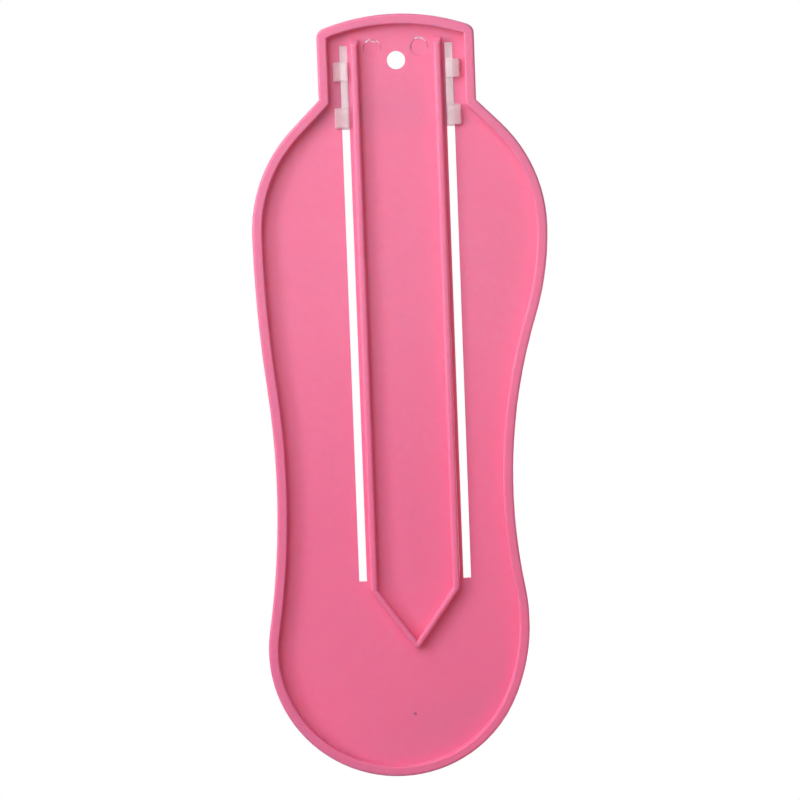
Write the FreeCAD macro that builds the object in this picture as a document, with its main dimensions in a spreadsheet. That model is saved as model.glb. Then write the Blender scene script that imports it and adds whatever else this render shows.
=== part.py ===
import FreeCAD, Part
import math
import os
from types import SimpleNamespace

import Sketcher

# Foot measuring device: a one-piece moulded sole plate with a heel stop, and a slider with a toe stop that
# snaps through two long slots. Millimetres. The plate lies in use position, its rim's free edge on z = 0,
# its printed front up, heel at -Y and hanging tab at +Y. Seen from above the arch side is at -X.

SIZES = {
    # sole outline
    "overall_length": 240.0,      # heel end to tab end
    "toe_radius": 46.2,           # round of the ball, and half of the overall width
    "toe_setback": 67.6,          # tab end to the centre of the ball round
    "outer_ball_radius": 415.0,   # nearly straight run below the ball, outer side
    "outer_waist_radius": 268.0,  # shallow hollow of the outer side
    "arch_ball_radius": 90.0,     # run below the ball, arch side
    "arch_radius": 173.0,         # deep hollow of the arch side
    "heel_radius": 40.5,          # round of the heel
    "heel_side_radius": 59.4,     # flatter run of the heel on the arch side
    "heel_side_rise": 7.8,        # its centre above the heel's centre
    "shoulder_slope": 45.0,       # degrees, straight shoulders from the ball round to the tab
    # hanging tab
    "tab_width": 49.1,
    "tab_crown_radius": 66.2,
    "tab_corner_radius": 3.1,
    "hole_diameter": 5.7,
    "hole_setback": 14.4,         # tab end to the hole's centre
    # tray section
    "rim_width": 3.15,
    "rim_depth": 3.6,             # free edge to the back of the floor
    "floor_thickness": 2.0,
    "rim_round": 0.8,             # outer edge of the rim's foot
    "well_round": 0.5,            # inner edge of the rim's foot
    "front_bevel": 0.7,
    # track: two slots, each with a rib beside it, the ribs closed by a V at the heel end
    "track_offset": 0.8,          # track axis from the plate's middle, toward the arch side
    "slot_spacing": 32.9,
    "slot_width": 2.4,
    "slot_length": 168.7,
    "slot_setback": 9.4,          # tab end to the slots' toe ends
    "rib_gap": 1.15,              # floor left between slot and rib
    "rib_width": 2.25,
    "rib_height": 3.2,
    "rib_overrun": 1.7,           # ribs go on past the slots' toe ends
    "rib_ramp": 1.5,
    "rib_round": 0.8,
    "vee_gap": 2.6,               # slots' heel ends to the V's inner knees
    "vee_length": 16.4,
    "vee_width": 1.85,
    "vee_round": 1.3,
    # ejector pin marks beside the hole
    "mark_diameter": 5.3,
    "mark_spacing": 14.7,
    "mark_setback": 10.5,
    "mark_depth": 0.2,
    # heel stop, an upright wall on the front that follows the heel round
    "stop_inset": 2.0,            # plate edge to the wall's outer face
    "stop_thickness": 2.4,
    "stop_height": 20.0,
    "stop_half_angle": 84.0,      # degrees each side of the heel end
    "stop_end_height": 7.0,
    "stop_end_length": 3.5,       # level stretch at each low end, measured along the plate
    "stop_sweep": 55.0,           # degrees, steepest slope of the S from the crest to a low end
    "stop_round": 0.9,
    # slider
    "slider_setback": 5.1,        # slots' toe ends to the slider's legs as set; the gauge then reads 200
    "slide_gap": 0.2,             # running clearance over and under the floor
    "leg_gap": 0.2,               # running clearance on each side in the slot
    "travel_gap": 0.3,            # left at the slot's ends
    "slider_thickness": 2.0,
    "runner_width": 6.6,
    "runner_length": 30.0,
    "bar_depth": 9.0,
    "leg_setback": 0.5,           # toe stop face to the legs
    "leg_length": 20.6,
    "leg_proud": 0.3,             # how far the legs stand out of the slots between their hooks
    "hook_reach": 2.3,
    "hook_thickness": 1.6,
    "hook_round": 0.4,
    "hook_bevel": 0.35,
    "heel_hook_length": 6.4,
    "toe_hook_length": 5.9,
    "toe_stop_width": 54.0,
    "toe_stop_height": 18.0,
    "toe_stop_thickness": 1.8,
    "toe_stop_corner": 8.0,
    "gusset_length": 13.0,
    "gusset_height": 11.0,
    "gusset_thickness": 1.6,
    "toe_stop_bevel": 0.4,
    "runner_end_round": 1.6,
}
size = SimpleNamespace(**SIZES)

# the sketcher's own numbers for its axes and for the points of a line or an arc
HORIZONTAL_AXIS, VERTICAL_AXIS = range(-1, -3, -1)
START, END, CENTRE = range(1, 4)
TOLERANCE = 1e-4

document = FreeCAD.newDocument("foot_measuring_device")


def make_sheet():
    """Spreadsheet of the driving dimensions, one alias for each."""
    sheet = document.addObject("Spreadsheet::Sheet", "Sizes")
    for row, (alias, value) in enumerate(SIZES.items(), start=1):
        sheet.set(f"A{row}", alias)
        sheet.set(f"B{row}", str(value))
        sheet.setAlias(f"B{row}", alias)
    document.recompute()


# ---------------------------------------------------------------- sketch helpers

def make_body(name):
    body = document.addObject("PartDesign::Body", name)
    body.Label = name
    return body


def origin_plane(body, role):
    return next(feature for feature in body.Origin.OriginFeatures if feature.Role == role)


def make_sketch(body, name, role="XY_Plane", **offsets):
    """Sketch on an origin plane of its body; offsets are expressions for x, y and z of its attachment."""
    sketch = body.newObject("Sketcher::SketchObject", name)
    sketch.AttachmentSupport = [(origin_plane(body, role), "")]
    sketch.MapMode = "FlatFace"
    for axis, expression in offsets.items():
        sketch.setExpression(f"AttachmentOffset.Base.{axis}", expression)
    return sketch


def point(x, y):
    return FreeCAD.Vector(x, y, 0)


def add_line(sketch, start, end):
    return sketch.addGeometry(Part.LineSegment(start, end), False)


def heading(centre, target):
    return math.atan2(target.y - centre.y, target.x - centre.x)


def add_arc(sketch, centre, start, end):
    """Counter-clockwise arc about centre from start to end."""
    circle = Part.Circle(centre, FreeCAD.Vector(0, 0, 1), (start - centre).Length)
    return sketch.addGeometry(Part.ArcOfCircle(circle, heading(centre, start), heading(centre, end)), False)


def tie(sketch, kind, *parts):
    sketch.addConstraint(Sketcher.Constraint(kind, *parts))


def dimension(sketch, name, expression, kind, *parts):
    """Driving dimension that starts at the size as drawn and is bound to the sheet."""
    if kind == "Radius":
        drawn = sketch.Geometry[parts[0]].Radius
    elif kind == "Diameter":
        drawn = 2 * sketch.Geometry[parts[0]].Radius
    elif kind == "Angle":
        line = sketch.Geometry[parts[0]]
        drawn = heading(line.StartPoint, line.EndPoint)
    else:
        first, second = sketch.getPoint(*parts[:2]), sketch.getPoint(*parts[2:])
        drawn = {"DistanceX": second.x - first.x, "DistanceY": second.y - first.y}[kind]
    index = sketch.addConstraint(Sketcher.Constraint(kind, *parts, drawn))
    sketch.renameConstraint(index, name)
    sketch.setExpression(f"Constraints.{name}", expression)


def place_point(sketch, name, x_expression, y_expression, geometry, position):
    dimension(sketch, name + "_x", x_expression, "DistanceX", HORIZONTAL_AXIS, START, geometry, position)
    dimension(sketch, name + "_y", y_expression, "DistanceY", HORIZONTAL_AXIS, START, geometry, position)


def add_polygon(sketch, corners):
    """Closed run of lines; returns their indices."""
    lines = [add_line(sketch, a, b) for a, b in zip(corners, corners[1:] + corners[:1])]
    for before, after in zip(lines, lines[1:] + lines[:1]):
        tie(sketch, "Coincident", before, END, after, START)
    return lines


def finish_sketch(sketch):
    document.recompute()
    if sketch.solve() != 0 or not sketch.FullyConstrained:
        raise RuntimeError(f"sketch {sketch.Name} is not fully constrained")
    return sketch


# ---------------------------------------------------------------- feature helpers

def pad(body, sketch, name, length, **settings):
    feature = body.newObject("PartDesign::Pad", name)
    feature.Profile = sketch
    feature.setExpression("Length", length)
    for key, value in settings.items():
        setattr(feature, key, value)
    return finish_feature(body, feature, grows=True)


def pocket(body, sketch, name, length=None, **settings):
    feature = body.newObject("PartDesign::Pocket", name)
    feature.Profile = sketch
    if length is None:
        feature.Type = "ThroughAll"
    else:
        feature.setExpression("Length", length)
    for key, value in settings.items():
        setattr(feature, key, value)
    return finish_feature(body, feature, grows=False)


def finish_feature(body, feature, grows):
    """Recompute, and make sure that the feature added or removed material."""
    before = feature.BaseFeature.Shape.Volume if feature.BaseFeature else 0.0
    document.recompute()
    change = feature.Shape.Volume - before
    if "Invalid" in feature.State or (change > 0) != grows or abs(change) < TOLERANCE:
        raise RuntimeError(f"{feature.Name} changed the volume by {change:.3f}")
    return feature


def edge_names(shape, wanted):
    return [f"Edge{number}" for number, edge in enumerate(shape.Edges, start=1) if wanted(edge)]


def dress(body, kind, name, base, wanted, **expressions):
    """Fillet or chamfer on the edges of base that wanted() picks."""
    feature = body.newObject(f"PartDesign::{kind}", name)
    feature.Base = (base, edge_names(base.Shape, wanted))
    for key, expression in expressions.items():
        feature.setExpression(key, expression)
    return finish_feature(body, feature, grows=False)


def level_edge(z):
    """Test for an edge that lies flat at height z."""
    return lambda edge: max(abs(edge.BoundBox.ZMin - z), abs(edge.BoundBox.ZMax - z)) < TOLERANCE


def foot_edge(shape, outer):
    """Test for an edge of the rim's flat foot on z = 0, on its outer outline or on its inner one."""
    foot = next(face for face in shape.Faces if face.BoundBox.ZMax < TOLERANCE)
    outline = foot.OuterWire.Edges
    return lambda edge: level_edge(0.0)(edge) and any(edge.isSame(other) for other in outline) == outer


# ---------------------------------------------------------------- sole outline

def hollow_centre(first, first_radius, second, second_radius, radius, side):
    """Centre of a circle of that radius that touches two circles from outside, on side +1 or -1 in x."""
    a, b = first_radius + radius, second_radius + radius
    run = second - first
    along = (run.Length ** 2 + a ** 2 - b ** 2) / (2 * run.Length)
    direction = run.normalize()
    across = math.sqrt(a ** 2 - along ** 2)
    square = FreeCAD.Vector(-direction.y, direction.x, 0)
    return first + direction * along + square * across * math.copysign(1.0, square.x * side)


def sole_circles():
    """The outline's circles in order, counter-clockwise from the heel: name, centre, radius and bulge."""
    toe = point(0, size.overall_length / 2 - size.toe_setback)
    heel = point(size.toe_radius - size.heel_radius, size.heel_radius - size.overall_length / 2)
    outer_ball = toe - point(size.outer_ball_radius - size.toe_radius, 0)
    arch_ball = toe + point(size.arch_ball_radius - size.toe_radius, 0)
    reach = size.heel_side_radius - size.heel_radius
    heel_side = heel + point(math.sqrt(reach ** 2 - size.heel_side_rise ** 2), size.heel_side_rise)
    outer_waist = hollow_centre(outer_ball, size.outer_ball_radius, heel, size.heel_radius,
                                size.outer_waist_radius, 1)
    arch = hollow_centre(arch_ball, size.arch_ball_radius, heel_side, size.heel_side_radius,
                         size.arch_radius, -1)
    return [("heel", heel, 1), ("outer_waist", outer_waist, -1), ("outer_ball", outer_ball, 1),
            ("toe", toe, 1), ("arch_ball", arch_ball, 1), ("arch", arch, -1), ("heel_side", heel_side, 1)]


def touch_point(first, second):
    """Where two neighbouring circles of the outline touch, each given as centre, radius and bulge."""
    (centre_1, radius_1, bulge_1), (centre_2, radius_2, bulge_2) = first, second
    if bulge_1 != bulge_2:
        return centre_1 + (centre_2 - centre_1) * (radius_1 / (radius_1 + radius_2))
    if radius_1 > radius_2:
        return centre_1 + (centre_2 - centre_1).normalize() * radius_1
    return centre_2 + (centre_1 - centre_2).normalize() * radius_2


def draw_sole(sketch, inset, inset_expression, round_corners):
    """Outline of the plate, moved inward by inset: tangent arcs, straight shoulders and the tab."""
    def radius_of(name, bulge):
        return SIZES[name + "_radius"] - bulge * inset

    circles = {name: (centre, radius_of(name, bulge), bulge) for name, centre, bulge in sole_circles()}
    toe, toe_radius, _ = circles["toe"]
    track_x = -size.track_offset
    half_tab = size.tab_width / 2 - inset
    slope = math.radians(size.shoulder_slope)
    crown = point(track_x, size.overall_length / 2 - size.tab_crown_radius)
    crown_radius = size.tab_crown_radius - inset

    def run_arc(name, start, end):
        """Arc of a named circle along the outline; returns its index with its first and last point."""
        centre, _, bulge = circles[name]
        index = add_arc(sketch, centre, *((start, end) if bulge > 0 else (end, start)))
        return (index, START, END) if bulge > 0 else (index, END, START)

    def shoulder_points(side):
        """Foot on the toe round and neck on the tab's side, on side +1 or -1."""
        foot = toe + point(side * math.sin(slope), math.cos(slope)) * toe_radius
        neck_x = track_x + side * half_tab
        return foot, point(neck_x, foot.y + abs(foot.x - neck_x) * math.tan(slope))

    names = list(circles)
    touches = {}
    for name, after in zip(names, names[1:] + names[:1]):
        touches[name, after] = touch_point(circles[name], circles[after])
    foot_outer, neck_outer = shoulder_points(1)
    foot_arch, neck_arch = shoulder_points(-1)

    corner_radius = size.tab_corner_radius if round_corners else 0.0
    corner_x = half_tab - corner_radius
    corner_y = crown.y + math.sqrt((crown_radius - corner_radius) ** 2 - corner_x ** 2)
    corner_outer, corner_arch = point(track_x + corner_x, corner_y), point(track_x - corner_x, corner_y)
    crown_outer = crown + (corner_outer - crown).normalize() * crown_radius
    crown_arch = crown + (corner_arch - crown).normalize() * crown_radius
    side_outer, side_arch = corner_outer + point(corner_radius, 0), corner_arch - point(corner_radius, 0)

    heel = run_arc("heel", touches["heel_side", "heel"], touches["heel", "outer_waist"])
    outer_waist = run_arc("outer_waist", touches["heel", "outer_waist"], touches["outer_waist", "outer_ball"])
    outer_ball = run_arc("outer_ball", touches["outer_waist", "outer_ball"], touches["outer_ball", "toe"])
    outer_toe = run_arc("toe", touches["outer_ball", "toe"], foot_outer)
    outer_shoulder = (add_line(sketch, foot_outer, neck_outer), START, END)
    outer_side = (add_line(sketch, neck_outer, side_outer), START, END)
    crest = (add_arc(sketch, crown, crown_outer, crown_arch), START, END)
    arch_side = (add_line(sketch, side_arch, neck_arch), START, END)
    arch_shoulder = (add_line(sketch, neck_arch, foot_arch), START, END)
    arch_toe = run_arc("toe", foot_arch, touches["toe", "arch_ball"])
    arch_ball = run_arc("arch_ball", touches["toe", "arch_ball"], touches["arch_ball", "arch"])
    arch = run_arc("arch", touches["arch_ball", "arch"], touches["arch", "heel_side"])
    heel_side = run_arc("heel_side", touches["arch", "heel_side"], touches["heel_side", "heel"])

    smooth_runs = [[arch_shoulder, arch_toe, arch_ball, arch, heel_side, heel, outer_waist, outer_ball,
                    outer_toe, outer_shoulder]]
    corners = [(outer_shoulder, outer_side), (arch_side, arch_shoulder)]
    if round_corners:
        outer_corner = (add_arc(sketch, corner_outer, side_outer, crown_outer), START, END)
        arch_corner = (add_arc(sketch, corner_arch, crown_arch, side_arch), START, END)
        smooth_runs.append([outer_side, outer_corner, crest, arch_corner, arch_side])
    else:
        corners += [(outer_side, crest), (crest, arch_side)]

    for run in smooth_runs:
        for (before, _, last), (after, first, _) in zip(run, run[1:]):
            tie(sketch, "Tangent", before, last, after, first)
    for (before, _, last), (after, first, _) in corners:
        tie(sketch, "Coincident", before, last, after, first)

    inward = f" - {inset_expression}" if inset_expression else ""
    outward = f" + {inset_expression}" if inset_expression else ""
    for name, (index, _, _) in (("heel", heel), ("outer_waist", outer_waist), ("outer_ball", outer_ball),
                                ("toe", outer_toe), ("arch_ball", arch_ball), ("arch", arch),
                                ("heel_side", heel_side)):
        shift = inward if circles[name][2] > 0 else outward
        dimension(sketch, name + "_radius", f"Sizes.{name}_radius" + shift, "Radius", index)
    dimension(sketch, "tab_crown_radius", "Sizes.tab_crown_radius" + inward, "Radius", crest[0])
    if round_corners:
        dimension(sketch, "outer_corner_radius", "Sizes.tab_corner_radius", "Radius", outer_corner[0])
        dimension(sketch, "arch_corner_radius", "Sizes.tab_corner_radius", "Radius", arch_corner[0])

    toe_height = "Sizes.overall_length / 2 - Sizes.toe_setback"
    heel_height = "Sizes.heel_radius - Sizes.overall_length / 2"
    tie(sketch, "PointOnObject", outer_toe[0], CENTRE, VERTICAL_AXIS)
    dimension(sketch, "toe_centre_y", toe_height, "DistanceY", HORIZONTAL_AXIS, START, outer_toe[0], CENTRE)
    tie(sketch, "Coincident", outer_toe[0], CENTRE, arch_toe[0], CENTRE)
    tie(sketch, "Equal", outer_toe[0], arch_toe[0])
    for index, _, _ in (outer_ball, arch_ball):
        tie(sketch, "Horizontal", outer_toe[0], CENTRE, index, CENTRE)
    place_point(sketch, "heel_centre", "Sizes.toe_radius - Sizes.heel_radius", heel_height, heel[0], CENTRE)
    dimension(sketch, "heel_side_rise", "Sizes.heel_side_rise", "DistanceY", heel[0], CENTRE,
              heel_side[0], CENTRE)
    place_point(sketch, "crown_centre", "-Sizes.track_offset",
                "Sizes.overall_length / 2 - Sizes.tab_crown_radius", crest[0], CENTRE)
    half_width = f"(Sizes.tab_width / 2{inward})"
    for side, line, sign in (("outer", outer_side[0], "+"), ("arch", arch_side[0], "-")):
        tie(sketch, "Vertical", line)
        dimension(sketch, side + "_side_x", f"{sign}{half_width} - Sizes.track_offset", "DistanceX",
                  HORIZONTAL_AXIS, START, line, START)
    dimension(sketch, "outer_slope", "180 deg - Sizes.shoulder_slope * 1 deg", "Angle", outer_shoulder[0])
    dimension(sketch, "arch_slope", "Sizes.shoulder_slope * 1 deg - 180 deg", "Angle", arch_shoulder[0])
    return finish_sketch(sketch)


# ---------------------------------------------------------------- base plate

def draw_ribs(sketch):
    """Both ribs and the V as one closed profile, symmetric about the sketch's vertical axis."""
    outer_x = size.slot_spacing / 2 - size.slot_width / 2 - size.rib_gap
    inner_x = outer_x - size.rib_width
    toe_y = size.overall_length / 2 - size.slot_setback + size.rib_overrun
    knee_y = size.overall_length / 2 - size.slot_setback - size.slot_length - size.vee_gap
    tip_y = knee_y - size.vee_length
    arm = math.atan2(size.vee_length, inner_x)
    outer_tip_y = tip_y - size.vee_width / math.cos(arm)
    outer_knee_y = outer_tip_y + outer_x * math.tan(arm)
    centre_y = outer_tip_y + size.vee_round / math.cos(arm)
    touch = point(size.vee_round * math.sin(arm), centre_y - size.vee_round * math.cos(arm))

    def half(side):
        """Lines of one side, from the V's round to the rib's toe end and back to the inner tip."""
        corners = [point(touch.x, touch.y), point(outer_x, outer_knee_y), point(outer_x, toe_y),
                   point(inner_x, toe_y), point(inner_x, knee_y), point(0, tip_y)]
        corners = [point(side * corner.x, corner.y) for corner in corners]
        lines = [add_line(sketch, a, b) for a, b in zip(corners, corners[1:])]
        for before, after in zip(lines, lines[1:]):
            tie(sketch, "Coincident", before, END, after, START)
        return lines

    right, left = half(1), half(-1)
    arm_line, outer_line, end_line, inner_line, vee_line = right
    tie(sketch, "Vertical", outer_line)
    tie(sketch, "Horizontal", end_line)
    tie(sketch, "Vertical", inner_line)
    tie(sketch, "Parallel", arm_line, vee_line)
    for mine, mirrored in zip(right[:4], left[:4]):
        tie(sketch, "Symmetric", mine, END, mirrored, END, VERTICAL_AXIS)
    tip = add_arc(sketch, point(0, centre_y), point(-touch.x, touch.y), touch)
    tie(sketch, "Tangent", tip, START, left[0], START)
    tie(sketch, "Tangent", tip, END, arm_line, START)
    tie(sketch, "PointOnObject", tip, CENTRE, VERTICAL_AXIS)
    tie(sketch, "Coincident", vee_line, END, left[4], END)
    tie(sketch, "PointOnObject", vee_line, END, VERTICAL_AXIS)
    outer_edge = "Sizes.slot_spacing / 2 - Sizes.slot_width / 2 - Sizes.rib_gap"
    toe_end = "Sizes.overall_length / 2 - Sizes.slot_setback + Sizes.rib_overrun"
    place_point(sketch, "rib_toe_end", outer_edge, toe_end, outer_line, END)
    dimension(sketch, "rib_width", "Sizes.rib_width", "DistanceX", inner_line, START, outer_line, END)
    knee = "Sizes.overall_length / 2 - Sizes.slot_setback - Sizes.slot_length - Sizes.vee_gap"
    dimension(sketch, "knee_y", knee, "DistanceY", HORIZONTAL_AXIS, START, inner_line, END)
    dimension(sketch, "vee_length", "Sizes.vee_length", "DistanceY", vee_line, END, vee_line, START)
    dimension(sketch, "vee_round", "Sizes.vee_round", "Radius", tip)
    index = sketch.addConstraint(Sketcher.Constraint("Distance", vee_line, END, arm_line, size.vee_width))
    sketch.renameConstraint(index, "vee_width")
    sketch.setExpression("Constraints.vee_width", "Sizes.vee_width")
    return finish_sketch(sketch)


def draw_slots(sketch):
    """The two slots, mirror images about the sketch's vertical axis."""
    inner_x, outer_x = ((size.slot_spacing + side * size.slot_width) / 2 for side in (-1, 1))
    toe_y = size.overall_length / 2 - size.slot_setback
    heel_y = toe_y - size.slot_length
    right = add_polygon(sketch, [point(inner_x, heel_y), point(outer_x, heel_y),
                                 point(outer_x, toe_y), point(inner_x, toe_y)])
    left = add_polygon(sketch, [point(-inner_x, heel_y), point(-outer_x, heel_y),
                                point(-outer_x, toe_y), point(-inner_x, toe_y)])
    for line in (0, 2):
        tie(sketch, "Horizontal", right[line])
        tie(sketch, "Vertical", right[line + 1])
    for line in range(4):
        tie(sketch, "Symmetric", right[line], START, left[line], START, VERTICAL_AXIS)
    toe_end = "Sizes.overall_length / 2 - Sizes.slot_setback"
    outer_edge = "Sizes.slot_spacing / 2 + Sizes.slot_width / 2"
    place_point(sketch, "slot_toe_end", outer_edge, toe_end, right[1], END)
    dimension(sketch, "slot_width", "Sizes.slot_width", "DistanceX", right[0], START, right[0], END)
    dimension(sketch, "slot_length", "Sizes.slot_length", "DistanceY", right[1], START, right[1], END)
    return finish_sketch(sketch)


def draw_circles(sketch, name, xs, y, diameter, expressions):
    """Equal circles in a row; expressions give each x, the common y and the diameter."""
    x_expressions, y_expression, diameter_expression = expressions
    for number, (x, x_expression) in enumerate(zip(xs, x_expressions), start=1):
        circle = Part.Circle(point(x, y), FreeCAD.Vector(0, 0, 1), diameter / 2)
        index = sketch.addGeometry(circle, False)
        place_point(sketch, f"{name}_{number}", x_expression, y_expression, index, CENTRE)
        dimension(sketch, f"{name}_{number}_diameter", diameter_expression, "Diameter", index)
    return finish_sketch(sketch)


def draw_stop_band(sketch):
    """Band of the heel stop between two arcs about the heel's centre, which is the sketch's origin."""
    outer_radius = size.heel_radius - size.stop_inset
    inner_radius = outer_radius - size.stop_thickness
    spread = math.radians(size.stop_half_angle)
    right, left = point(math.sin(spread), -math.cos(spread)), point(-math.sin(spread), -math.cos(spread))
    origin = point(0, 0)
    outer = add_arc(sketch, origin, left * outer_radius, right * outer_radius)
    inner = add_arc(sketch, origin, left * inner_radius, right * inner_radius)
    right_end = add_line(sketch, right * inner_radius, right * outer_radius)
    left_end = add_line(sketch, left * inner_radius, left * outer_radius)
    for arc in (outer, inner):
        tie(sketch, "Coincident", arc, CENTRE, HORIZONTAL_AXIS, START)
    for line, position in ((right_end, END), (left_end, START)):
        tie(sketch, "Coincident", inner, position, line, START)
        tie(sketch, "Coincident", outer, position, line, END)
        tie(sketch, "PointOnObject", HORIZONTAL_AXIS, START, line)
    dimension(sketch, "outer_radius", "Sizes.heel_radius - Sizes.stop_inset", "Radius", outer)
    dimension(sketch, "inner_radius", "Sizes.heel_radius - Sizes.stop_inset - Sizes.stop_thickness",
              "Radius", inner)
    dimension(sketch, "right_spread", "Sizes.stop_half_angle * 1 deg - 90 deg", "Angle", right_end)
    dimension(sketch, "left_spread", "-90 deg - Sizes.stop_half_angle * 1 deg", "Angle", left_end)
    return finish_sketch(sketch)


def draw_stop_slope(sketch):
    """Side view of what is cut from the heel stop: an S of two equal arcs from level crest to low ends.

    The sketch lies in the YZ plane with its origin at the wall's outer face, on the plate's front.
    """
    drop = size.stop_height - size.stop_end_height
    sweep = math.radians(size.stop_sweep)
    radius = drop / (2 * (1 - math.cos(sweep)))
    wall_end = (size.heel_radius - size.stop_inset) * (1 - math.cos(math.radians(size.stop_half_angle)))
    low = point(wall_end - size.stop_end_length, size.stop_end_height)
    lower_centre = low + point(0, radius)
    middle = lower_centre - point(math.sin(sweep), math.cos(sweep)) * radius
    upper_centre = middle * 2 - lower_centre
    crest = upper_centre + point(0, radius)
    far = point(size.overall_length / 2, size.stop_end_height)
    top = point(size.overall_length / 2, size.stop_height + drop)
    back = point(crest.x, size.stop_height + drop)
    upper = add_arc(sketch, upper_centre, middle, crest)
    lower = add_arc(sketch, lower_centre, middle, low)
    corners = [low, far, top, back, crest]
    floor, end, lid, face = (add_line(sketch, a, b) for a, b in zip(corners, corners[1:]))
    tie(sketch, "Tangent", upper, START, lower, START)
    tie(sketch, "Equal", upper, lower)
    tie(sketch, "Tangent", lower, END, floor, START)
    for before, after in ((floor, end), (end, lid), (lid, face)):
        tie(sketch, "Coincident", before, END, after, START)
    tie(sketch, "Coincident", face, END, upper, END)
    tie(sketch, "Horizontal", floor)
    tie(sketch, "Vertical", end)
    tie(sketch, "Horizontal", lid)
    tie(sketch, "Vertical", face)
    tie(sketch, "Vertical", upper, CENTRE, upper, END)
    wall_end_y = "(Sizes.heel_radius - Sizes.stop_inset) * (1 - cos(Sizes.stop_half_angle * 1 deg))"
    place_point(sketch, "low", wall_end_y + " - Sizes.stop_end_length", "Sizes.stop_end_height", lower, END)
    dimension(sketch, "crest_z", "Sizes.stop_height", "DistanceY", HORIZONTAL_AXIS, START, upper, END)
    arc_radius = "(Sizes.stop_height - Sizes.stop_end_height) / (2 - 2 * cos(Sizes.stop_sweep * 1 deg))"
    dimension(sketch, "arc_radius", arc_radius, "Radius", upper)
    place_point(sketch, "far_corner", "Sizes.overall_length / 2",
                "2 * Sizes.stop_height - Sizes.stop_end_height", end, END)
    return finish_sketch(sketch)


def build_base_plate():
    """One moulding: tray with rim, track ribs and slots on the back, heel stop on the front."""
    body = make_body("base_plate")
    front = "Sizes.rim_depth + Sizes.floor_thickness"
    front_z = size.rim_depth + size.floor_thickness
    on_track = {"x": "-Sizes.track_offset"}

    sole = draw_sole(make_sketch(body, "sole_outline"), 0.0, "", round_corners=True)
    pad(body, sole, "slab", front)
    well_sketch = make_sketch(body, "well_outline")
    well = draw_sole(well_sketch, size.rim_width, "Sizes.rim_width", round_corners=False)
    pocket(body, well, "well", "Sizes.rim_depth", Reversed=True)

    rib_foot = "Sizes.rim_depth - Sizes.rib_height"
    rib_foot_z = size.rim_depth - size.rib_height
    toe_end_y = size.overall_length / 2 - size.slot_setback + size.rib_overrun
    rib_profile = draw_ribs(make_sketch(body, "rib_profile", z=rib_foot, **on_track))
    ribs = pad(body, rib_profile, "track_ribs", "Sizes.rib_height")
    at_rib_foot = level_edge(rib_foot_z)

    def rib_toe_end(edge):
        return at_rib_foot(edge) and edge.BoundBox.YMin > toe_end_y - TOLERANCE

    ramps = dress(body, "Chamfer", "rib_ramps", ribs, rib_toe_end, Size="Sizes.rib_ramp")
    track = dress(body, "Fillet", "rib_round", ramps, at_rib_foot, Radius="Sizes.rib_round")

    rim_outline = foot_edge(track.Shape, outer=True)
    rim = dress(body, "Fillet", "rim_round", track, rim_outline, Radius="Sizes.rim_round")
    well_outline = foot_edge(rim.Shape, outer=False)
    eased = dress(body, "Fillet", "well_round", rim, well_outline, Radius="Sizes.well_round")
    dress(body, "Chamfer", "front_bevel", eased, level_edge(front_z), Size="Sizes.front_bevel")

    pocket(body, draw_slots(make_sketch(body, "slot_profile", **on_track)), "slots", Reversed=True)
    hole_y = size.overall_length / 2 - size.hole_setback
    hole_sketch = make_sketch(body, "hole_profile", **on_track)
    hole_places = ["0"], "Sizes.overall_length / 2 - Sizes.hole_setback", "Sizes.hole_diameter"
    draw_circles(hole_sketch, "hole", [0.0], hole_y, size.hole_diameter, hole_places)
    pocket(body, hole_sketch, "hanging_hole", Reversed=True)
    mark_y = size.overall_length / 2 - size.mark_setback
    mark_sketch = make_sketch(body, "mark_profile", z="Sizes.rim_depth", **on_track)
    mark_places = (["-Sizes.mark_spacing / 2", "Sizes.mark_spacing / 2"],
                   "Sizes.overall_length / 2 - Sizes.mark_setback", "Sizes.mark_diameter")
    draw_circles(mark_sketch, "mark", [-size.mark_spacing / 2, size.mark_spacing / 2], mark_y,
                 size.mark_diameter, mark_places)
    pocket(body, mark_sketch, "ejector_marks", "Sizes.mark_depth", Reversed=True)

    heel_x = "Sizes.toe_radius - Sizes.heel_radius"
    heel_y = "Sizes.heel_radius - Sizes.overall_length / 2"
    band = draw_stop_band(make_sketch(body, "stop_band", x=heel_x, y=heel_y, z=front))
    pad(body, band, "heel_stop", "Sizes.stop_height")
    stop_face = "Sizes.stop_inset - Sizes.overall_length / 2"
    slope = draw_stop_slope(make_sketch(body, "stop_slope", "YZ_Plane", x=stop_face, y=front))
    sloped = pocket(body, slope, "stop_ends", Midplane=True)

    def stop_crest_edge(edge):
        curved = not isinstance(edge.Curve, Part.Line)
        return curved and edge.BoundBox.ZMin > front_z + size.stop_end_height - TOLERANCE

    dress(body, "Fillet", "stop_round", sloped, stop_crest_edge, Radius="Sizes.stop_round")
    return body


# ---------------------------------------------------------------- slider
# Its own frame: x = 0 on the track axis, y = 0 on the toe stop's face, z = 0 on the plate's front.

INNER_LEG_FACE = "Sizes.slot_spacing / 2 - Sizes.slot_width / 2 + Sizes.leg_gap"
LEG_WIDTH = "Sizes.slot_width - 2 * Sizes.leg_gap"


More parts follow.
